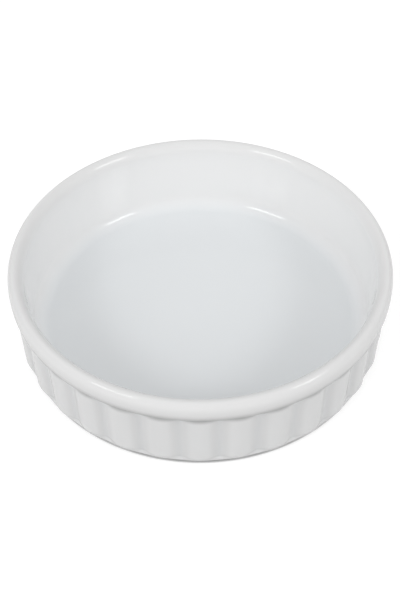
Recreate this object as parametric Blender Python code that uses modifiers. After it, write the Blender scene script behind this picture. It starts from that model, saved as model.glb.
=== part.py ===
"""A round creme brulee dish in one piece of white porcelain.

It has a flat floor, a cove, a low wall with a rolled rim, upright flutes round its outside, and a foot ring.
Metres, +Z up. The origin is the centre of the foot ring's face, on the surface that the dish stands on.
"""

import math

import bmesh
import bpy

# Driving dimensions, in metres and degrees
RIM_DIAMETER = 0.120
HEIGHT = 0.030
CROWN_RISE = 0.0039
RIM_FULLNESS = 2.5
RIM_OVERHANG = 0.0008
LIP_DROP = 0.0033
LIP_FULLNESS = 3.2
WALL_THICKNESS = 0.0040
OUTER_DRAFT = 0.3
INNER_DRAFT = 3.0
FLOOR_THICKNESS = 0.0030
COVE_RADIUS = 0.0050
HEEL_RADIUS = 0.0040
FOOT_HEIGHT = 0.0008
FOOT_INSET = 0.0005
FOOT_WIDTH = 0.0024
FOOT_BEVEL = 0.0004

# Flutes: convex lobes with a groove between each two
FLUTE_COUNT = 32
FLUTE_DEPTH = 0.0013
FLUTE_ROUNDNESS = 2.2
FLUTE_START = 0.0017
FLUTE_RUNOUT = 0.0022

# Finish
GLAZE_COLOUR = (0.83, 0.85, 0.86, 1.0)
GLAZE_ROUGHNESS = 0.08

# Facets
STEPS_PER_FLUTE = 6
RIM_SEGMENTS = 3
UNDERSIDE_SEGMENTS = 2
COVE_SEGMENTS = 4
HEEL_SEGMENTS = 5
SMOOTH_ANGLE = 40.0

# Radii and heights that follow from them
rim_radius = RIM_DIAMETER / 2
lobe_radius = rim_radius - RIM_OVERHANG
inner_radius = lobe_radius - WALL_THICKNESS
rim_middle = (rim_radius + inner_radius) / 2
rim_half_width = (rim_radius - inner_radius) / 2
rim_level = HEIGHT - CROWN_RISE
floor_top = FOOT_HEIGHT + FLOOR_THICKNESS
heel_top = FOOT_HEIGHT + HEEL_RADIUS


def clear_scene():
    for thing in list(bpy.data.objects):
        bpy.data.objects.remove(thing, do_unlink=True)


def arc(centre, radii, start, end, segments, fullness=2.0):
    """Points of an oval arc as (radius, height), from start to end degrees, both ends included.

    A fullness of 2 is an ellipse, and more is squarer.
    """

    def reach(share):
        return math.copysign(abs(share) ** (2 / fullness), share)

    points = []
    for step in range(segments + 1):
        angle = math.radians(start + (end - start) * step / segments)
        out = radii[0] * reach(math.cos(angle))
        up = radii[1] * reach(math.sin(angle))
        points.append((centre[0] + out, centre[1] + up))
    return points


def inner_wall_radius(height):
    """The inner wall leans in from the rim's inner side down to the cove."""
    return inner_radius - (rim_level - height) * math.tan(math.radians(INNER_DRAFT))


def lobe_crest_radius(height):
    """The crests of the lobes lean in from the underside of the rim down to the heel."""
    return lobe_radius - (rim_level - height) * math.tan(math.radians(OUTER_DRAFT))


def inside_points():
    """The floor from the centre out, and the cove up to the inner wall."""
    cove_centre = (inner_wall_radius(floor_top + COVE_RADIUS) - COVE_RADIUS, floor_top + COVE_RADIUS)
    cove = arc(cove_centre, (COVE_RADIUS, COVE_RADIUS), -90, -INNER_DRAFT, COVE_SEGMENTS)
    return [(0, floor_top)] + cove


def rim_points():
    """The rolled rim from the inner wall over the crown and down to where its underside meets the lobes."""
    tuck = (lobe_radius - rim_middle) / rim_half_width
    underside = -math.degrees(math.acos(tuck ** (LIP_FULLNESS / 2)))
    centre = (rim_middle, rim_level)
    radii = (rim_half_width, CROWN_RISE)
    inner_quarter = arc(centre, radii, 180, 90, RIM_SEGMENTS, RIM_FULLNESS)
    outer_quarter = arc(centre, radii, 90, 0, RIM_SEGMENTS, RIM_FULLNESS)
    lip = arc(centre, (rim_half_width, LIP_DROP), 0, underside, UNDERSIDE_SEGMENTS, LIP_FULLNESS)
    return inner_quarter + outer_quarter[1:] + lip[1:]


def outside_points():
    """The fluted wall below the rim and the rounded heel, down to the foot ring."""
    runout_end = FLUTE_START + FLUTE_RUNOUT
    wall = [(lobe_crest_radius(runout_end), runout_end)] if runout_end > heel_top else []
    heel_radius = lobe_crest_radius(heel_top)
    heel_centre = (heel_radius - HEEL_RADIUS, heel_top)
    heel = arc(heel_centre, (HEEL_RADIUS, HEEL_RADIUS), 0, -90, HEEL_SEGMENTS)
    return wall + heel


def foot_points():
    """The foot ring with its bevelled edges, and the underside in to the centre."""
    outer = lobe_crest_radius(heel_top) - HEEL_RADIUS - FOOT_INSET
    inner = outer - FOOT_WIDTH
    return [
        (outer, FOOT_BEVEL),
        (outer - FOOT_BEVEL, 0),
        (inner + FOOT_BEVEL, 0),
        (inner, FOOT_BEVEL),
        (inner - FOOT_BEVEL, FOOT_HEIGHT),
        (0, FOOT_HEIGHT),
    ]


def groove_share(height):
    """How deep the grooves are at a height: 0 at the heel, 1 from the end of their run-out up to the rim."""
    share = min(max((height - FLUTE_START) / FLUTE_RUNOUT, 0), 1)
    return share * share * (3 - 2 * share)


def groove_depth(turn):
    """The depth below the crests at an angle round the dish: 0 on a crest, FLUTE_DEPTH in a groove."""
    phase = turn * FLUTE_COUNT / math.tau % 1
    from_crest = 2 * min(phase, 1 - phase)
    return FLUTE_DEPTH * from_crest ** FLUTE_ROUNDNESS


def profile_object(collection):
    """The section as a line of edges, with the grooves' share at each outer point as a vertex weight."""
    plain = inside_points() + rim_points()
    fluted = outside_points()
    points = plain + fluted + foot_points()
    mesh = bpy.data.meshes.new("dish_profile")
    section = bmesh.new()
    corners = [section.verts.new((radius, 0, height)) for radius, height in points]
    for first, second in zip(corners, corners[1:]):
        section.edges.new((first, second))
    section.to_mesh(mesh)
    section.free()
    profile = bpy.data.objects.new("dish_profile", mesh)
    collection.objects.link(profile)
    grooves = profile.vertex_groups.new(name="grooves")
    for index in range(len(plain) - 1, len(plain) + len(fluted)):
        grooves.add([index], groove_share(points[index][1]), "REPLACE")
    profile.hide_render = True
    profile.display_type = "WIRE"
    return profile


def turn_profile(profile):
    """The closed body of revolution as a mesh, which keeps the grooves' weights."""
    screw = profile.modifiers.new("turned", "SCREW")
    screw.axis = "Z"
    screw.steps = FLUTE_COUNT * STEPS_PER_FLUTE
    screw.render_steps = screw.steps
    screw.use_merge_vertices = True
    screw.merge_threshold = 0.00001
    graph = bpy.context.evaluated_depsgraph_get()
    turned = bpy.data.meshes.new_from_object(
        profile.evaluated_get(graph), preserve_all_data_layers=True, depsgraph=graph
    )
    turned.name = "dish"
    return turned


def press_flutes(mesh):
    """Moves the outer wall in along each groove, by the depth at its angle times the share at its height."""
    for corner in mesh.vertices:
        if not corner.groups:
            continue
        radius = math.hypot(corner.co.x, corner.co.y)
        turn = math.atan2(corner.co.y, corner.co.x)
        pressed = radius - corner.groups[0].weight * groove_depth(turn)
        corner.co.x *= pressed / radius
        corner.co.y *= pressed / radius


def glazed_porcelain():
    """White porcelain under a clear, faintly blue glaze."""
    material = bpy.data.materials.new("glazed_porcelain")
    material.use_nodes = True
    shader = material.node_tree.nodes["Principled BSDF"]
    shader.inputs["Base Color"].default_value = GLAZE_COLOUR
    shader.inputs["Roughness"].default_value = GLAZE_ROUGHNESS
    shader.inputs["Metallic"].default_value = 0.0
    return material


def make_dish(parts, guides):
    profile = profile_object(guides)
    mesh = turn_profile(profile)
    press_flutes(mesh)
    mesh.shade_smooth()
    mesh.set_sharp_from_angle(angle=math.radians(SMOOTH_ANGLE))
    mesh.materials.append(glazed_porcelain())
    dish = bpy.data.objects.new("dish", mesh)
    parts.objects.link(dish)
    return dish


def main():
    clear_scene()
    parts = bpy.data.collections.new("creme_brulee_dish")
    guides = bpy.data.collections.new("guides")
    bpy.context.scene.collection.children.link(parts)
    bpy.context.scene.collection.children.link(guides)
    make_dish(parts, guides)


main()
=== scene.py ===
"""A round creme brulee dish in one piece of white porcelain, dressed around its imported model.

The dish has a flat floor, a cove, a low wall with a rolled rim, upright flutes round its outside, and a
foot ring that was wiped free of glaze. Metres, +Z up. The origin is the centre of the foot ring's face.
"""

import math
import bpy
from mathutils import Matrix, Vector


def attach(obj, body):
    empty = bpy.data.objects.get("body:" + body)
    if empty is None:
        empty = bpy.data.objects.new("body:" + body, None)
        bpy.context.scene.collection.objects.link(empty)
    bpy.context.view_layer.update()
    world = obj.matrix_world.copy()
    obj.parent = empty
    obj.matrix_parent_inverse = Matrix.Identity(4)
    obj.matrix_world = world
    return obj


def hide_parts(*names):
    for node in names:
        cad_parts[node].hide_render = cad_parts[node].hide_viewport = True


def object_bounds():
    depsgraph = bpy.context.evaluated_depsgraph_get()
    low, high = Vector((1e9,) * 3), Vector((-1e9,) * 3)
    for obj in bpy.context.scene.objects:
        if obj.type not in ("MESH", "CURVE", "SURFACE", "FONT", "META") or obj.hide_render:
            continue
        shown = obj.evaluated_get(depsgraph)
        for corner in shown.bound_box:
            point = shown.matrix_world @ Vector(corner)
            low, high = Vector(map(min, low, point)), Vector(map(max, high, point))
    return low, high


bl_info = {
    "name": "Creme Brulee Dish",
    "version": (1, 0, 0),
    "blender": (4, 5, 0),
    "location": "3D View > Sidebar > Baking Dish",
    "description": "Makes a fluted baking dish of glazed porcelain, with its table and soft lamps",
    "category": "Object",
}

import bpy
from mathutils import Quaternion, Vector

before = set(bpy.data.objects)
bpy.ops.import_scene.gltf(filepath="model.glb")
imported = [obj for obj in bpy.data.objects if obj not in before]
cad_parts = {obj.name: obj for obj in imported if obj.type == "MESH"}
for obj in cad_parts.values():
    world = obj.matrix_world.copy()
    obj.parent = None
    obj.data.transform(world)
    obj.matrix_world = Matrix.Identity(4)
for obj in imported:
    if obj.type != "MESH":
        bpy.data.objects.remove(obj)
CAD_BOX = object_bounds()
DISH_WIDTH = round(CAD_BOX[1].x - CAD_BOX[0].x, 4)
DISH_HEIGHT = round(CAD_BOX[1].z - CAD_BOX[0].z, 4)

# Mesh steps along each part of the section
FLOOR_STEPS = 5
COVE_STEPS = 14
INNER_WALL_STEPS = 7
RIM_STEPS = 16
GROOVE_TOP_STEPS = 8
OUTER_WALL_STEPS = 32
HEEL_STEPS = 18
FOOT_STEPS = 4
UNDERSIDE_STEPS = 5

# The section's attributes, one for each share in its rows
SHARES = ("groove_share", "pooled", "painted_shade_share")

# Thickness of the pooled glaze, where 1 is the pool on the floor
OUTSIDE_POOL = 0.1
UNDERSIDE_POOL = 0.3
GROOVE_POOL = 0.4
GROOVE_POOL_SHARPNESS = 6.0

# Where the painted shade in a groove sets in and where it is full, from a crest at 0 to the middle of a
# groove at 1
VALLEY_START = 0.45
VALLEY_END = 0.9

# Share of the foot ring's bevel that is wiped bare along with the ring's face
WIPED_SHARE = 0.6

# Points nearer than this, in metres, become one: the first and last columns, and the points on the axis
WELD_DISTANCE = 0.000002

# How strong the soft light is from each height, as (height of the direction's unit vector, strength)
SOFT_LEVELS = ((0.0, 0.06), (0.2, 0.4), (0.42, 1.0), (0.65, 0.63), (0.9, 0.38), (1.0, 0.33))

# How quickly the sideways fades of the soft light end above the horizon
HORIZON_STEEPNESS = 5.0

# Where each lamp stands and how large it looks from the dish, in degrees. Its distance, and the height on the
# dish's axis that it faces, in metres.
LEFT_LAMP = {"azimuth": -49, "elevation": 40, "width": 20, "height": 13}
RIGHT_LAMP = {"azimuth": 61, "elevation": 38, "width": 17, "height": 13}
LAMP_DISTANCE = 0.9
LAMP_AIM_HEIGHT = 0.02

# The table's half width in metres, its colour and glow, and how steeply the glow fades out at the dish, which
# paints a contact shadow
TABLE_REACH = 3.0
TABLE_COLOUR = "B0B0B0"
MIRRORED_TABLE_COLOUR = "F8F8F8"
MIRRORED_TABLE_GLOW = 0.13
CONTACT_STEEPNESS = 5.0


class DishSizes(bpy.types.PropertyGroup):
    """Sizes of the turned section, from the foot ring up to the rim"""

    rim_diameter: bpy.props.FloatProperty(
        name="Rim Diameter",
        description="Width of the dish over its rolled rim",
        default=DISH_WIDTH,
        min=0.05,
        unit="LENGTH",
    )
    height: bpy.props.FloatProperty(
        name="Height",
        description="From the foot ring's face to the rim's crown",
        default=DISH_HEIGHT,
        min=0.015,
        unit="LENGTH",
    )
    crown_rise: bpy.props.FloatProperty(
        name="Crown Rise",
        description="From the widest level of the rim up to its crown",
        default=0.0039,
        min=0.001,
        unit="LENGTH",
    )
    crown_shift: bpy.props.FloatProperty(
        name="Crown Shift",
        description="How far the crown stands out from the middle of the rim",
        default=0.0004,
        min=0.0,
        unit="LENGTH",
    )
    shoulder_fullness: bpy.props.FloatProperty(
        name="Shoulder Fullness",
        description="Power of the rim's oval section on the inside: 2 is an ellipse, and more is squarer",
        default=2.0,
        min=1.5,
        max=4.0,
    )
    rim_fullness: bpy.props.FloatProperty(
        name="Rim Fullness",
        description="The same power on the outside of the crown",
        default=2.2,
        min=2.0,
        max=4.0,
    )
    lip_fullness: bpy.props.FloatProperty(
        name="Lip Fullness",
        description="The same power where the rim turns under towards the flutes",
        default=3.2,
        min=2.0,
        max=8.0,
    )
    lip_drop: bpy.props.FloatProperty(
        name="Lip Drop",
        description="From the widest level of the rim down to the lowest of its turned-under edge",
        default=0.0033,
        min=0.001,
        unit="LENGTH",
    )
    rim_overhang: bpy.props.FloatProperty(
        name="Rim Overhang",
        description="How far the rim stands out past the crests of the flutes",
        default=0.0008,
        min=0.0002,
        unit="LENGTH",
    )
    wall_thickness: bpy.props.FloatProperty(
        name="Wall Thickness",
        description="Thickness of the wall under the rim, at the crests of the flutes",
        default=0.0040,
        min=0.0015,
        unit="LENGTH",
    )
    # The crease's darker tone is painted shade under the rim's overhang.
    crease_reach: bpy.props.FloatProperty(
        name="Crease Reach",
        description="How far the crease's darker tone reaches down the flutes",
        default=0.0023,
        min=0.0002,
        unit="LENGTH",
    )
    lip_reach: bpy.props.FloatProperty(
        name="Lip Reach",
        description="How far the crease's darker tone reaches up the lip",
        default=0.0032,
        min=0.0002,
        unit="LENGTH",
    )
    # The crown's grey and the two reaches after it are painted shade, darkest on the top of the rim.
    crown_shade: bpy.props.FloatProperty(
        name="Crown Grey",
        description="How much of the body's grey shows at the very top of the rim, where the glaze ran off",
        default=0.19,
        min=0.0,
        max=1.0,
        subtype="FACTOR",
    )
    brow_reach: bpy.props.FloatProperty(
        name="Brow Reach",
        description="How far down the outer side of the rim that grey reaches",
        default=0.0016,
        min=0.0005,
        unit="LENGTH",
    )
    shoulder_reach: bpy.props.FloatProperty(
        name="Shoulder Reach",
        description="How far down the inner side of the rim that grey reaches",
        default=0.0050,
        min=0.0005,
        unit="LENGTH",
    )
    outer_draft: bpy.props.FloatProperty(
        name="Outer Draft",
        description="Lean of the outer wall, which lets the dish leave its mould",
        default=math.radians(0.3),
        unit="ROTATION",
    )
    inner_draft: bpy.props.FloatProperty(
        name="Inner Draft",
        description="Lean of the inner wall, from the rim in to the cove",
        default=math.radians(3.0),
        unit="ROTATION",
    )
    floor_thickness: bpy.props.FloatProperty(
        name="Floor Thickness",
        description="Thickness of the floor over the recess inside the foot ring",
        default=0.0030,
        min=0.001,
        unit="LENGTH",
    )
    cove_radius: bpy.props.FloatProperty(
        name="Cove Radius",
        description="Radius between the floor and the inner wall",
        default=0.0050,
        min=0.001,
        unit="LENGTH",
    )
    heel_radius: bpy.props.FloatProperty(
        name="Heel Radius",
        description="Radius between the outer wall and the foot ring",
        default=0.0040,
        min=0.001,
        unit="LENGTH",
    )
    foot_height: bpy.props.FloatProperty(
        name="Foot Height",
        description="How far the foot ring stands down from the underside",
        default=0.0008,
        min=0.0002,
        unit="LENGTH",
    )
    foot_inset: bpy.props.FloatProperty(
        name="Foot Inset",
        description="How far the foot ring stands in from the end of the heel",
        default=0.0005,
        min=0.0001,
        unit="LENGTH",
    )
    foot_width: bpy.props.FloatProperty(
        name="Foot Width",
        description="Width of the foot ring",
        default=0.0024,
        min=0.001,
        unit="LENGTH",
    )
    foot_bevel: bpy.props.FloatProperty(
        name="Foot Bevel",
        description="Width of the rounded edges of the foot ring",
        default=0.0004,
        min=0.0001,
        unit="LENGTH",
    )


class FluteSizes(bpy.types.PropertyGroup):
    """Sizes of the upright flutes: convex lobes with a groove between each two"""

    count: bpy.props.IntProperty(
        name="Flutes",
        description="Number of flutes round the dish",
        default=32,
        min=8,
        max=64,
    )
    depth: bpy.props.FloatProperty(
        name="Depth",
        description="Depth of the grooves below the crests",
        default=0.0013,
        min=0.0,
        unit="LENGTH",
    )
    roundness: bpy.props.FloatProperty(
        name="Roundness",
        description="Power of the fall from a crest to a groove: 2 is a round lobe, and 1 a flat facet",
        default=2.2,
        min=1.0,
        max=4.0,
    )
    groove_fillet: bpy.props.FloatProperty(
        name="Groove Fillet",
        description="Share of half a flute that the glaze rounds off at the bottom of a groove",
        default=0.2,
        min=0.0,
        max=0.5,
        subtype="FACTOR",
    )
    # The groove's grey is painted shade across each groove.
    groove_shade: bpy.props.FloatProperty(
        name="Groove Shade",
        description="How much of the body's grey shows in the middle of a groove",
        default=0.16,
        min=0.0,
        max=1.0,
        subtype="FACTOR",
    )
    start: bpy.props.FloatProperty(
        name="Start",
        description="Height at which the grooves begin in the heel",
        default=0.0017,
        unit="LENGTH",
    )
    runout: bpy.props.FloatProperty(
        name="Run-out",
        description="Height over which the grooves reach their full depth",
        default=0.0022,
        min=0.0001,
        unit="LENGTH",
    )
    top_fillet: bpy.props.FloatProperty(
        name="Top Fillet",
        description="Height over which the grooves run up into the underside of the rim",
        default=0.0004,
        min=0.0001,
        unit="LENGTH",
    )
    steps: bpy.props.IntProperty(
        name="Steps",
        description="Mesh steps across one flute",
        default=20,
        min=6,
        max=30,
    )


class PorcelainColours(bpy.types.PropertyGroup):
    """Colours of the glaze and of the bare porcelain, as sRGB hex values"""

    glaze: bpy.props.StringProperty(
        name="Glaze",
        description="White porcelain seen through glaze of the usual thickness",
        default="F0F0F0",
    )
    pooled: bpy.props.StringProperty(
        name="Pooled Glaze",
        description="Where the glaze ran together and is thicker, which shows its blue",
        default="EBEEF0",
    )
    # This grey is painted shade: the crease, the grooves and the crown are darkened with it.
    grey: bpy.props.StringProperty(
        name="Grey",
        description="The body's grey where the glaze ran thin, in the crease, the grooves and on the crown",
        default="B8B8B8",
    )
    bare: bpy.props.StringProperty(
        name="Bare Porcelain",
        description="The fired body where the glaze was wiped off",
        default="E4DFD6",
    )
    bare_dark: bpy.props.StringProperty(
        name="Rubbed Porcelain",
        description="The bare body where shelves and ovens have rubbed it",
        default="CFC7BA",
    )


class StageSettings(bpy.types.PropertyGroup):
    """Camera, lamps and table"""

    elevation: bpy.props.FloatProperty(
        name="Elevation",
        description="Height of the camera above the horizon",
        default=math.radians(46.56),
        unit="ROTATION",
    )
    turn: bpy.props.FloatProperty(
        name="Turn",
        description="How far the camera stands round from the front, positive towards the dish's left",
        default=math.radians(-0.55),
        unit="ROTATION",
    )
    roll: bpy.props.FloatProperty(
        name="Roll",
        description="Turn of the camera about its own axis",
        default=math.radians(-0.44),
        unit="ROTATION",
    )
    distance: bpy.props.FloatProperty(
        name="Distance",
        description="From the camera to the point it aims at",
        default=0.3070,
        min=0.1,
        unit="LENGTH",
    )
    aim_height: bpy.props.FloatProperty(
        name="Aim Height",
        description="Height on the dish's axis that the camera aims at",
        default=0.00862,
        unit="LENGTH",
    )
    lens: bpy.props.FloatProperty(
        name="Lens",
        description="Focal length in millimetres",
        default=55.98,
        min=10.0,
        unit="CAMERA",
    )
    surroundings: bpy.props.FloatProperty(
        name="Surroundings",
        description="Strength of the soft light from all round",
        default=1.31,
        min=0.0,
    )
    front_lean: bpy.props.FloatProperty(
        name="Front Lean",
        description="How much stronger the soft light is straight in front, and weaker straight behind",
        default=0.25,
        min=0.0,
        max=1.0,
        subtype="FACTOR",
    )
    right_fade: bpy.props.FloatProperty(
        name="Right Fade",
        description="How much weaker the low soft light is on the right, and stronger on the left",
        default=0.55,
        min=0.0,
        max=1.0,
        subtype="FACTOR",
    )
    side_fade: bpy.props.FloatProperty(
        name="Side Fade",
        description="How much weaker the low soft light is on both sides than in front and behind",
        default=0.3,
        min=0.0,
        max=1.0,
        subtype="FACTOR",
    )
    left_radiance: bpy.props.FloatProperty(
        name="Left Lamp",
        description="Brightness of the lamp on the dish's left, where 1 is white",
        default=5.1,
        min=0.0,
    )
    right_radiance: bpy.props.FloatProperty(
        name="Right Lamp",
        description="Brightness of the lamp on the dish's right, where 1 is white",
        default=5.7,
        min=0.0,
    )
    # The glow's fade near the dish is a painted contact shadow.
    contact_reach: bpy.props.FloatProperty(
        name="Contact Reach",
        description="How far from the dish the table's glow fades out towards the dark line where they meet",
        default=0.0014,
        min=0.0005,
        unit="LENGTH",
    )
    table_glow: bpy.props.FloatProperty(
        name="Table Glow",
        description="What the camera sees added to the table, so that it shows white beside the shadow",
        default=0.7,
        min=0.0,
        max=1.0,
        subtype="FACTOR",
    )


def linear(hex_colour):
    """A linear colour from an sRGB hex value."""
    channels = [int(hex_colour[place : place + 2], 16) / 255 for place in (0, 2, 4)]
    return [c / 12.92 if c <= 0.04045 else ((c + 0.055) / 1.055) ** 2.4 for c in channels] + [1.0]


def add_node(tree, kind, inputs=(), **settings):
    """Adds a node. Inputs are given in order, or by name in a dictionary, and each is a value, a socket to
    link, or a node whose first output is linked. Settings are the node's own properties."""
    node = tree.nodes.new(kind)
    for name, value in settings.items():
        setattr(node, name, value)
    for key, value in inputs.items() if isinstance(inputs, dict) else enumerate(inputs):
        if isinstance(value, bpy.types.Node):
            value = value.outputs[0]
        if isinstance(value, bpy.types.NodeSocket):
            tree.links.new(value, node.inputs[key])
        else:
            node.inputs[key].default_value = value
    return node


def arc(centre, radii, start, end, steps, fullness=2.0):
    """Points of an oval arc as (radius, height), from start to end in degrees, both ends included."""

    def reach(share):
        return math.copysign(abs(share) ** (2 / fullness), share)

    points = []
    for step in range(steps + 1):
        angle = math.radians(start + (end - start) * step / steps)
        radius = centre[0] + radii[0] * reach(math.cos(angle))
        height = centre[1] + radii[1] * reach(math.sin(angle))
        points.append((radius, height))
    return points


def between(first, last, steps):
    """Points on the straight line between two points, with neither end."""
    points = []
    for step in range(1, steps):
        share = step / steps
        points.append((first[0] + (last[0] - first[0]) * share, first[1] + (last[1] - first[1]) * share))
    return points


def smoothstep(value):
    """0 up to 0, 1 from 1 on, and a soft rise between them."""
    value = min(max(value, 0), 1)
    return value * value * (3 - 2 * value)


def dish_section(sizes, flutes):
    """The section from the middle of the floor, over the rim, to the middle of the underside. Each row is
    (radius, height, share of the grooves' depth, share of pooled glaze, share of painted shade)."""
    rim_radius = sizes.rim_diameter / 2
    lobe_radius = rim_radius - sizes.rim_overhang
    inner_radius = lobe_radius - sizes.wall_thickness
    rim_middle = (rim_radius + inner_radius) / 2
    rim_level = sizes.height - sizes.crown_rise
    floor_top = sizes.foot_height + sizes.floor_thickness
    heel_top = sizes.foot_height + sizes.heel_radius
    inner_lean = math.tan(sizes.inner_draft)
    outer_lean = math.tan(sizes.outer_draft)

    # Inside: the floor, the cove and the wall up to the rim's widest level
    cove_top = floor_top + sizes.cove_radius
    cove_middle = inner_radius - (rim_level - cove_top) * inner_lean - sizes.cove_radius
    cove_end = -math.degrees(sizes.inner_draft)
    cove = arc((cove_middle, cove_top), (sizes.cove_radius,) * 2, -90, cove_end, COVE_STEPS)
    floor = [(0, floor_top)] + between((0, floor_top), cove[0], FLOOR_STEPS)
    inner_wall = between(cove[-1], (inner_radius, rim_level), INNER_WALL_STEPS)

    # Rim: the shoulder up to the crown, the brow down to the widest level, and the lip that turns under
    crown = (rim_middle + sizes.crown_shift, rim_level)
    shoulder_radii = (crown[0] - inner_radius, sizes.crown_rise)
    brow_radii = (rim_radius - crown[0], sizes.crown_rise)
    lip_radii = ((rim_radius - inner_radius) / 2, sizes.lip_drop)
    tuck = (lobe_radius - rim_middle) / lip_radii[0]
    lip_end = -math.degrees(math.acos(tuck ** (sizes.lip_fullness / 2)))
    rim = arc(crown, shoulder_radii, 180, 90, RIM_STEPS, sizes.shoulder_fullness)
    rim += arc(crown, brow_radii, 90, 0, RIM_STEPS, sizes.rim_fullness)[1:]
    lip = arc((rim_middle, rim_level), lip_radii, 0, lip_end, RIM_STEPS, sizes.lip_fullness)[1:]
    crease = lip[-1][1]

    # Outside: the tops of the grooves, the wall at the flutes' crests, and the heel
    def crest_radius(height):
        return lobe_radius - (rim_level - height) * outer_lean

    groove_tops = []
    for step in range(1, GROOVE_TOP_STEPS + 1):
        share = step / GROOVE_TOP_STEPS
        height = crease - flutes.top_fillet * share**2
        groove_tops.append((crest_radius(height), height, share))
    wall_bottom = (crest_radius(heel_top), heel_top)
    wall = between(groove_tops[-1][:2], wall_bottom, OUTER_WALL_STEPS)
    heel_middle = wall_bottom[0] - sizes.heel_radius
    heel = arc((heel_middle, heel_top), (sizes.heel_radius,) * 2, 0, -90, HEEL_STEPS)

    # Underside: the foot ring and the recess inside it
    foot_outer = heel_middle - sizes.foot_inset
    foot_inner = foot_outer - sizes.foot_width
    bevel = sizes.foot_bevel
    foot = arc((foot_outer - bevel, bevel), (bevel, bevel), 0, -90, FOOT_STEPS)
    foot += arc((foot_inner + bevel, bevel), (bevel, bevel), -90, -180, FOOT_STEPS)
    recess_radius = sizes.foot_height - bevel
    recess = arc((foot_inner - recess_radius, bevel), (recess_radius,) * 2, 0, 90, FOOT_STEPS)[1:]
    recess += between(recess[-1], (0, sizes.foot_height), UNDERSIDE_STEPS) + [(0, sizes.foot_height)]

    def crease_shade(height):
        """Painted shade under the rim: 1 in the crease, fading out up the lip and down the flutes."""
        reach = sizes.lip_reach if height > crease else sizes.crease_reach
        return 1.0 - smoothstep(abs(height - crease) / reach)

    def painted_crown_shade(radius, height):
        """Painted shade, grey at the top of the rim, fading out down the brow and down the shoulder."""
        reach = sizes.brow_reach if radius > crown[0] else sizes.shoulder_reach
        return sizes.crown_shade * smoothstep(1.0 - (sizes.height - height) / reach)

    rows = []
    for radius, height in floor:
        rows.append((radius, height, 0, 1.0, 0))
    for step, (radius, height) in enumerate(cove):
        rows.append((radius, height, 0, 1.0 - smoothstep(step / COVE_STEPS), 0))
    for radius, height in inner_wall + rim:
        rows.append((radius, height, 0, 0, painted_crown_shade(radius, height)))
    for radius, height in lip:
        rows.append((radius, height, 0, 0, crease_shade(height)))
    for radius, height, share in groove_tops:
        rows.append((radius, height, share, OUTSIDE_POOL, crease_shade(height)))
    for radius, height in wall + heel:
        share = smoothstep((height - flutes.start) / flutes.runout)
        rows.append((radius, height, share, OUTSIDE_POOL, crease_shade(height)))
    for radius, height in foot + recess:
        rows.append((radius, height, 0, UNDERSIDE_POOL, 0))
    return rows


def section_object(rows):
    """The section as a line of edges, with its shares as attributes."""
    mesh = bpy.data.meshes.new("dish_section")
    mesh.from_pydata([(row[0], 0, row[1]) for row in rows], [(n, n + 1) for n in range(len(rows) - 1)], [])
    for place, name in enumerate(SHARES, start=2):
        attribute = mesh.attributes.new(name, "FLOAT", "POINT")
        attribute.data.foreach_set("value", [row[place] for row in rows])
    section = bpy.data.objects.new("porcelain_dish", mesh)
    bpy.context.scene.collection.objects.link(section)
    return section


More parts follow.
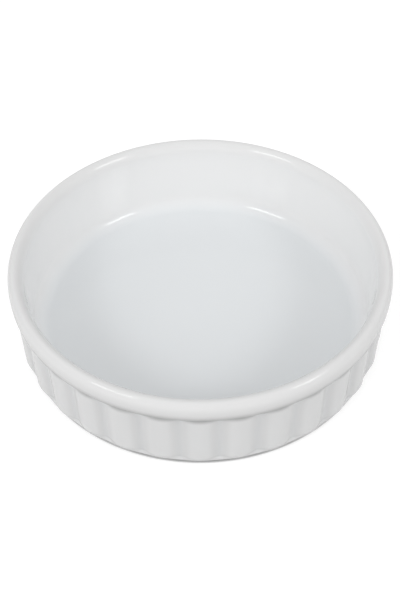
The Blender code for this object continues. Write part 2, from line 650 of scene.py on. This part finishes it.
def turning_tree():
    """Geometry Nodes that turn a section into a body and press its flutes in."""
    tree = bpy.data.node_groups.new("turned_and_fluted_dish", "GeometryNodeTree")
    for name, kind in (
        ("Section", "NodeSocketGeometry"),
        ("Flutes", "NodeSocketInt"),
        ("Steps", "NodeSocketInt"),
        ("Depth", "NodeSocketFloat"),
        ("Roundness", "NodeSocketFloat"),
        ("Groove Fillet", "NodeSocketFloat"),
        ("Groove Shade", "NodeSocketFloat"),
        ("Bare Height", "NodeSocketFloat"),
        ("Glaze", "NodeSocketMaterial"),
        ("Bare Porcelain", "NodeSocketMaterial"),
    ):
        tree.interface.new_socket(name, in_out="INPUT", socket_type=kind)
    tree.interface.new_socket("Dish", in_out="OUTPUT", socket_type="NodeSocketGeometry")
    given = add_node(tree, "NodeGroupInput").outputs

    # One row of the grid for each point of the section, and one column for each step round the dish
    rows = add_node(tree, "GeometryNodeAttributeDomainSize", (given["Section"],)).outputs["Point Count"]
    columns = add_node(tree, "ShaderNodeMath", (given["Flutes"], given["Steps"]), operation="MULTIPLY")
    with_seam = add_node(tree, "ShaderNodeMath", (columns, 1.0), operation="ADD")
    grid = add_node(tree, "GeometryNodeMeshGrid", {"Vertices X": with_seam, "Vertices Y": rows})
    index = add_node(tree, "GeometryNodeInputIndex")
    row = add_node(tree, "ShaderNodeMath", (index, rows), operation="MODULO")
    middle = add_node(tree, "ShaderNodeMath", (index, 0.5), operation="ADD")
    columns_in = add_node(tree, "ShaderNodeMath", (middle, rows), operation="DIVIDE")
    column = add_node(tree, "ShaderNodeMath", (columns_in,), operation="FLOOR")

    # The section's point and shares at each row
    place = add_node(tree, "GeometryNodeInputPosition")
    sampled = {}
    for name in ("point",) + SHARES:
        data_type = "FLOAT_VECTOR" if name == "point" else "FLOAT"
        value = place
        if name in SHARES:
            value = add_node(tree, "GeometryNodeInputNamedAttribute", {"Name": name}, data_type=data_type)
        sampled[name] = add_node(
            tree,
            "GeometryNodeSampleIndex",
            {"Geometry": given["Section"], "Value": value.outputs[0], "Index": row},
            data_type=data_type,
            domain="POINT",
        )
    point = add_node(tree, "ShaderNodeSeparateXYZ", (sampled["point"],)).outputs

    # From a crest, 0, to the middle of a groove, 1, with the last part rounded as glaze fills it
    fillet = given["Groove Fillet"]
    flutes_in = add_node(tree, "ShaderNodeMath", (column, given["Steps"]), operation="DIVIDE")
    from_crest = add_node(tree, "ShaderNodeMath", (flutes_in, 0.5), operation="PINGPONG")
    to_groove = add_node(tree, "ShaderNodeMath", (from_crest, -2.0, 1.0), operation="MULTIPLY_ADD")
    square = add_node(tree, "ShaderNodeMath", (fillet, fillet), operation="MULTIPLY")
    distances = []
    for share in (to_groove, 1.0):
        slant = add_node(tree, "ShaderNodeMath", (share, share, square), operation="MULTIPLY_ADD")
        root = add_node(tree, "ShaderNodeMath", (slant,), operation="SQRT")
        distances.append(add_node(tree, "ShaderNodeMath", (root, fillet), operation="SUBTRACT"))
    farness = add_node(tree, "ShaderNodeMath", distances, operation="DIVIDE")
    closeness = add_node(tree, "ShaderNodeMath", (1.0, farness), operation="SUBTRACT")
    nearness = add_node(tree, "ShaderNodeMath", (closeness, 0.0), operation="MAXIMUM")
    dip = add_node(tree, "ShaderNodeMath", (nearness, given["Roundness"]), operation="POWER")
    deep = add_node(tree, "ShaderNodeMath", (dip, given["Depth"]), operation="MULTIPLY")
    pressed = add_node(tree, "ShaderNodeMath", (deep, sampled["groove_share"]), operation="MULTIPLY")

    # Round the axis
    radius = add_node(tree, "ShaderNodeMath", (point["X"], pressed), operation="SUBTRACT")
    turns = add_node(tree, "ShaderNodeMath", (column, columns), operation="DIVIDE")
    angle = add_node(tree, "ShaderNodeMath", (turns, math.tau), operation="MULTIPLY")
    corner = {"Z": point["Z"]}
    for axis, operation in (("X", "COSINE"), ("Y", "SINE")):
        share = add_node(tree, "ShaderNodeMath", (angle,), operation=operation)
        corner[axis] = add_node(tree, "ShaderNodeMath", (radius, share), operation="MULTIPLY")
    around = add_node(tree, "ShaderNodeCombineXYZ", corner)
    body = add_node(tree, "GeometryNodeSetPosition", {"Geometry": grid, "Position": around})

    # Each groove holds a narrow line of pooled glaze, and painted shade across a wider band, added to the
    # painted shade of the crease and the crown
    sharp = add_node(tree, "ShaderNodeMath", (nearness, GROOVE_POOL_SHARPNESS), operation="POWER")
    narrow = add_node(tree, "ShaderNodeMath", (sharp, sampled["groove_share"]), operation="MULTIPLY")
    groove_pool = add_node(tree, "ShaderNodeMath", (narrow, GROOVE_POOL), operation="MULTIPLY")
    pool = add_node(tree, "ShaderNodeMath", (sampled["pooled"], groove_pool), operation="MAXIMUM")
    valley = add_node(
        tree,
        "ShaderNodeMapRange",
        {"Value": nearness, "From Min": VALLEY_START, "From Max": VALLEY_END},
        interpolation_type="SMOOTHSTEP",
    )
    wide = add_node(tree, "ShaderNodeMath", (valley, sampled["groove_share"]), operation="MULTIPLY")
    grey = add_node(
        tree,
        "ShaderNodeMath",
        (wide, given["Groove Shade"], sampled["painted_shade_share"]),
        operation="MULTIPLY_ADD",
    )
    for name, value in (("glaze_pool", pool), ("painted_shade", grey)):
        body = add_node(
            tree,
            "GeometryNodeStoreNamedAttribute",
            {"Geometry": body, "Name": name, "Value": value},
            data_type="FLOAT",
            domain="POINT",
        )

    # Closed, facing out, smooth, glazed, and bare on the foot ring's face
    body = add_node(tree, "GeometryNodeMergeByDistance", {"Geometry": body, "Distance": WELD_DISTANCE})
    body = add_node(tree, "GeometryNodeFlipFaces", {"Mesh": body})
    body = add_node(tree, "GeometryNodeSetShadeSmooth", {"Geometry": body})
    body = add_node(tree, "GeometryNodeRealizeInstances", {"Geometry": body})
    body = add_node(tree, "GeometryNodeSetMaterial", {"Geometry": body, "Material": given["Glaze"]})
    height = add_node(tree, "ShaderNodeSeparateXYZ", (place,)).outputs["Z"]
    wiped = add_node(tree, "ShaderNodeMath", (height, given["Bare Height"]), operation="LESS_THAN")
    body = add_node(
        tree,
        "GeometryNodeSetMaterial",
        {"Geometry": body, "Selection": wiped, "Material": given["Bare Porcelain"]},
    )
    add_node(tree, "NodeGroupOutput", (body,))
    return tree


def turned_dish(section, sizes, flutes, glaze, bare):
    """Runs the tree on the section, and keeps the body as a plain mesh."""
    tree = turning_tree()
    values = {
        "Flutes": flutes.count,
        "Steps": flutes.steps,
        "Depth": flutes.depth,
        "Roundness": flutes.roundness,
        "Groove Fillet": flutes.groove_fillet,
        "Groove Shade": flutes.groove_shade,
        "Bare Height": sizes.foot_bevel * WIPED_SHARE,
        "Glaze": glaze,
        "Bare Porcelain": bare,
    }
    turning = section.modifiers.new("Turning", "NODES")
    turning.node_group = tree
    for socket in tree.interface.items_tree:
        if socket.name in values:
            turning[socket.identifier] = values[socket.name]
    graph = bpy.context.evaluated_depsgraph_get()
    turned = section.evaluated_get(graph)
    mesh = bpy.data.meshes.new_from_object(turned, preserve_all_data_layers=True, depsgraph=graph)
    section.modifiers.remove(turning)
    profile = section.data
    section.data = mesh
    mesh.name = "porcelain_dish"
    bpy.data.meshes.remove(profile)
    return section


def glazed_porcelain(colours):
    """Hard-paste porcelain, cast and dipped in a clear feldspar glaze: a white body under a glassy coat. It
    is faintly blue where the glaze pooled, carries grey painted shade in the crease, the grooves and on the
    crown, and has the low, wide waves of a glaze that set as it flowed."""
    material = bpy.data.materials.new("glazed_porcelain")
    material.use_nodes = True
    tree = material.node_tree
    shader = tree.nodes["Principled BSDF"]
    shader.inputs["Metallic"].default_value = 0.0
    shader.inputs["IOR"].default_value = 1.52
    place = add_node(tree, "ShaderNodeTexCoord").outputs["Object"]

    # The glaze's blue shows where it pooled, a little uneven in patches about 9 mm across
    clouds = add_node(
        tree,
        "ShaderNodeTexNoise",
        {"Vector": place, "Scale": 110.0, "Detail": 3.0, "Roughness": 0.5},
    )
    unevenness = add_node(
        tree,
        "ShaderNodeMapRange",
        {"Value": clouds.outputs["Fac"], "From Min": 0.3, "From Max": 0.7, "To Min": -0.06, "To Max": 0.06},
    )
    pool = add_node(tree, "ShaderNodeAttribute", attribute_name="glaze_pool").outputs["Fac"]
    thickness = add_node(tree, "ShaderNodeMath", (pool, unevenness), operation="ADD", use_clamp=True)
    glazed = add_node(
        tree,
        "ShaderNodeMix",
        {"Factor": thickness, "A": linear(colours.glaze), "B": linear(colours.pooled)},
        data_type="RGBA",
    )

    # Grey painted shade in the crease, the grooves and on the crown
    grey = add_node(tree, "ShaderNodeAttribute", attribute_name="painted_shade").outputs["Fac"]
    toned = add_node(
        tree,
        "ShaderNodeMix",
        {"Factor": grey, "A": glazed.outputs["Result"], "B": linear(colours.grey)},
        data_type="RGBA",
    )
    tree.links.new(toned.outputs["Result"], shader.inputs["Base Color"])

    # Kiln haze: the gloss is a little softer in some patches, about 14 mm across
    haze = add_node(
        tree,
        "ShaderNodeTexNoise",
        {"Vector": place, "Scale": 70.0, "Detail": 2.0, "Roughness": 0.5},
    )
    gloss = add_node(
        tree,
        "ShaderNodeMapRange",
        {"Value": haze.outputs["Fac"], "From Min": 0.3, "From Max": 0.7, "To Min": 0.03, "To Max": 0.06},
    )
    tree.links.new(gloss.outputs["Result"], shader.inputs["Roughness"])

    # Waves of the set glaze, about 5 mm from crest to crest and at most 0.04 mm high
    waves = add_node(
        tree,
        "ShaderNodeTexNoise",
        {"Vector": place, "Scale": 200.0, "Detail": 1.0, "Roughness": 0.4},
    )
    bump = add_node(
        tree,
        "ShaderNodeBump",
        {"Strength": 1.0, "Distance": 0.00004, "Height": waves.outputs["Fac"]},
    )
    tree.links.new(bump.outputs["Normal"], shader.inputs["Normal"])
    return material


def bare_porcelain(colours):
    """Biscuit porcelain: the fired body where the glaze was wiped off so that the dish would not stick to the
    kiln shelf. It is matt, a little warmer, and feels like fine sandpaper."""
    material = bpy.data.materials.new("bare_biscuit_porcelain")
    material.use_nodes = True
    tree = material.node_tree
    shader = tree.nodes["Principled BSDF"]
    shader.inputs["Metallic"].default_value = 0.0
    place = add_node(tree, "ShaderNodeTexCoord").outputs["Object"]

    # Rubbed patches, about 7 mm across
    rubbed = add_node(
        tree,
        "ShaderNodeTexNoise",
        {"Vector": place, "Scale": 150.0, "Detail": 4.0, "Roughness": 0.6},
    )
    share = add_node(
        tree,
        "ShaderNodeMapRange",
        {"Value": rubbed.outputs["Fac"], "From Min": 0.45, "From Max": 0.75},
    )
    colour = add_node(
        tree,
        "ShaderNodeMix",
        {"Factor": share, "A": linear(colours.bare), "B": linear(colours.bare_dark)},
        data_type="RGBA",
    )
    tree.links.new(colour.outputs["Result"], shader.inputs["Base Color"])

    # Grain of the fired body, drawn 0.4 mm across so that it shows, where the real grain is finer
    grain = add_node(
        tree,
        "ShaderNodeTexNoise",
        {"Vector": place, "Scale": 2500.0, "Detail": 3.0, "Roughness": 0.6},
    )
    matt = add_node(
        tree,
        "ShaderNodeMapRange",
        {"Value": grain.outputs["Fac"], "From Min": 0.3, "From Max": 0.7, "To Min": 0.6, "To Max": 0.85},
    )
    tree.links.new(matt.outputs["Result"], shader.inputs["Roughness"])
    bump = add_node(
        tree,
        "ShaderNodeBump",
        {"Strength": 0.6, "Distance": 0.00005, "Height": grain.outputs["Fac"]},
    )
    tree.links.new(bump.outputs["Normal"], shader.inputs["Normal"])
    return material


class DISH_OT_porcelain(bpy.types.Operator):
    """Makes the dish: turned section, pressed flutes, glaze, and a foot ring wiped free of glaze"""

    bl_idname = "dish.porcelain"
    bl_label = "Make Porcelain Dish"

    def execute(self, context):
        scene = context.scene
        glaze = glazed_porcelain(scene.porcelain_colours)
        bare = bare_porcelain(scene.porcelain_colours)
        section = section_object(dish_section(scene.dish_sizes, scene.flute_sizes))
        dish = turned_dish(section, scene.dish_sizes, scene.flute_sizes, glaze, bare)
        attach(dish, "root")
        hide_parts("dish")
        return {"FINISHED"}


def seen_share(tree, seen=1.0, mirrored=1.0):
    """One value for rays from the camera, another for rays that a mirror or glass sends on, and 0 for the
    light on the object."""
    rays = add_node(tree, "ShaderNodeLightPath").outputs
    levels = {"Is Camera Ray": seen, "Is Glossy Ray": mirrored, "Is Transmission Ray": mirrored}
    share = 0.0
    for ray, level in levels.items():
        share = add_node(tree, "ShaderNodeMath", (rays[ray], level, share), operation="MULTIPLY_ADD")
    return share


def table_material(stage):
    """Matt laminate. It is seen as white, apart from the dish's shadow, and sends a softer light back to the
    dish."""
    material = bpy.data.materials.new("matt_laminate")
    material.use_nodes = True
    tree = material.node_tree
    shader = tree.nodes["Principled BSDF"]
    colour = add_node(
        tree,
        "ShaderNodeMix",
        {"Factor": seen_share(tree, 0.0), "A": linear(TABLE_COLOUR), "B": linear(MIRRORED_TABLE_COLOUR)},
        data_type="RGBA",
    )
    tree.links.new(colour.outputs["Result"], shader.inputs["Base Color"])
    shader.inputs["Roughness"].default_value = 0.9
    shader.inputs["Specular IOR Level"].default_value = 0.0
    shader.inputs["Emission Color"].default_value = linear("FFFFFF")

    # The glow fades out towards the dish, a painted contact shadow that leaves a dark line where the dish
    # meets the table
    opening = add_node(tree, "ShaderNodeAmbientOcclusion", {"Distance": stage.contact_reach}, samples=16)
    painted_contact_shadow = add_node(tree, "ShaderNodeMath", (opening.outputs["AO"], CONTACT_STEEPNESS), operation="POWER")
    level = seen_share(tree, stage.table_glow, MIRRORED_TABLE_GLOW)
    glow = add_node(tree, "ShaderNodeMath", (painted_contact_shadow, level), operation="MULTIPLY")
    tree.links.new(glow.outputs[0], shader.inputs["Emission Strength"])
    return material


def soft_surroundings(stage):
    """A pale studio: soft light that is strongest in a band above the horizon and towards the front. What the
    camera and reflections see of it is white."""
    world = bpy.data.worlds.new("pale_studio")
    world.use_nodes = True
    tree = world.node_tree
    background = tree.nodes["Background"]
    way = add_node(tree, "ShaderNodeTexCoord").outputs["Generated"]
    part = add_node(tree, "ShaderNodeSeparateXYZ", (way,)).outputs
    ramp = add_node(tree, "ShaderNodeValToRGB", (part["Z"],))
    elements = ramp.color_ramp.elements
    while len(elements) < len(SOFT_LEVELS):
        elements.new(1.0)
    for element, (height, strength) in zip(elements, SOFT_LEVELS):
        element.position = height
        element.color = (strength, strength, strength, 1.0)

    # Stronger towards the front
    leaning = add_node(tree, "ShaderNodeMath", (part["Y"], -stage.front_lean, ramp), operation="MULTIPLY_ADD")

    # Weaker on the right and at the sides, but only near the horizon
    above = add_node(tree, "ShaderNodeMath", (part["Z"], 0.0), operation="MAXIMUM")
    below = add_node(tree, "ShaderNodeMath", (1.0, above), operation="SUBTRACT")
    near_horizon = add_node(tree, "ShaderNodeMath", (below, HORIZON_STEEPNESS), operation="POWER")
    fade = add_node(
        tree,
        "ShaderNodeMath",
        (part["X"], stage.side_fade, stage.right_fade),
        operation="MULTIPLY_ADD",
    )
    across = add_node(tree, "ShaderNodeMath", (part["X"], fade), operation="MULTIPLY")
    lost = add_node(tree, "ShaderNodeMath", (across, near_horizon), operation="MULTIPLY")
    remaining = add_node(tree, "ShaderNodeMath", (leaning, lost), operation="SUBTRACT")
    positive = add_node(tree, "ShaderNodeMath", (remaining, 0.0), operation="MAXIMUM")
    light = add_node(tree, "ShaderNodeMath", (positive, stage.surroundings), operation="MULTIPLY")

    level = add_node(
        tree,
        "ShaderNodeMix",
        {"Factor": seen_share(tree), "A": light, "B": 1.0},
        data_type="FLOAT",
    )
    tree.links.new(level.outputs["Result"], background.inputs["Strength"])
    background.inputs["Color"].default_value = linear("FFFFFF")
    bpy.context.scene.world = world


def direction(azimuth, elevation):
    """A unit vector away from the dish. Azimuth is in degrees from the front, positive to the right."""
    turn, rise = math.radians(azimuth), math.radians(elevation)
    return Vector((math.sin(turn) * math.cos(rise), -math.cos(turn) * math.cos(rise), math.sin(rise)))


def strip_lamp(name, radiance, azimuth, elevation, width, height):
    """A soft lamp that faces the dish, width and height in degrees as the dish sees them."""
    light = bpy.data.lights.new(name, "AREA")
    light.shape = "RECTANGLE"
    light.size = 2 * LAMP_DISTANCE * math.tan(math.radians(width) / 2)
    light.size_y = 2 * LAMP_DISTANCE * math.tan(math.radians(height) / 2)
    light.energy = radiance * math.pi * light.size * light.size_y
    lamp = bpy.data.objects.new(name, light)
    away = direction(azimuth, elevation)
    lamp.location = Vector((0, 0, LAMP_AIM_HEIGHT)) + away * LAMP_DISTANCE
    lamp.rotation_mode = "QUATERNION"
    lamp.rotation_quaternion = away.to_track_quat("Z", "Y")
    bpy.context.scene.collection.objects.link(lamp)


class DISH_OT_stage(bpy.types.Operator):
    """Makes the table top, the white surroundings, the lamps and the camera"""

    bl_idname = "dish.stage"
    bl_label = "Make Table, Lamps and Camera"

    def execute(self, context):
        scene = context.scene
        stage = scene.stage_settings

        mesh = bpy.data.meshes.new("table_top")
        corners = [(x * TABLE_REACH, y * TABLE_REACH, 0) for x, y in ((-1, -1), (1, -1), (1, 1), (-1, 1))]
        mesh.from_pydata(corners, [], [(0, 1, 2, 3)])
        mesh.materials.append(table_material(stage))
        table = bpy.data.objects.new("table_top", mesh)
        scene.collection.objects.link(table)

        soft_surroundings(stage)
        strip_lamp("left_strip", stage.left_radiance, **LEFT_LAMP)
        strip_lamp("right_strip", stage.right_radiance, **RIGHT_LAMP)

        camera = bpy.data.objects.new("camera", bpy.data.cameras.new("camera"))
        camera.data.lens = stage.lens
        away = direction(-math.degrees(stage.turn), math.degrees(stage.elevation))
        camera.location = Vector((0, 0, stage.aim_height)) + away * stage.distance
        camera.rotation_mode = "QUATERNION"
        roll = Quaternion((0, 0, 1), stage.roll)
        camera.rotation_quaternion = (-away).to_track_quat("-Z", "Y") @ roll
        scene.collection.objects.link(camera)
        scene.camera = camera
        scene.view_settings.view_transform = "Standard"
        return {"FINISHED"}


class DISH_PT_sidebar(bpy.types.Panel):
    """Sizes, colours and the steps that make the dish"""

    bl_idname = "DISH_PT_sidebar"
    bl_label = "Creme Brulee Dish"
    bl_space_type = "VIEW_3D"
    bl_region_type = "UI"
    bl_category = "Baking Dish"

    def draw(self, context):
        for title, group in (
            ("Section", context.scene.dish_sizes),
            ("Flutes", context.scene.flute_sizes),
            ("Colours", context.scene.porcelain_colours),
            ("Stage", context.scene.stage_settings),
        ):
            box = self.layout.box()
            box.label(text=title)
            for name in group.bl_rna.properties.keys():
                if name not in ("rna_type", "name"):
                    box.prop(group, name)
        self.layout.operator(DISH_OT_porcelain.bl_idname)
        self.layout.operator(DISH_OT_stage.bl_idname)


CLASSES = (
    DishSizes,
    FluteSizes,
    PorcelainColours,
    StageSettings,
    DISH_OT_porcelain,
    DISH_OT_stage,
    DISH_PT_sidebar,
)
GROUPS = {
    "dish_sizes": DishSizes,
    "flute_sizes": FluteSizes,
    "porcelain_colours": PorcelainColours,
    "stage_settings": StageSettings,
}


def register():
    for kind in CLASSES:
        bpy.utils.register_class(kind)
    for name, kind in GROUPS.items():
        setattr(bpy.types.Scene, name, bpy.props.PointerProperty(type=kind))


def unregister():
    for name in GROUPS:
        delattr(bpy.types.Scene, name)
    for kind in reversed(CLASSES):
        bpy.utils.unregister_class(kind)


def write_sizes():
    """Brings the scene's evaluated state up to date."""
    bpy.context.view_layer.update()


def main():
    register()
    bpy.ops.dish.porcelain()
    bpy.ops.dish.stage()
    write_sizes()


if __name__ == "__main__":
    main()
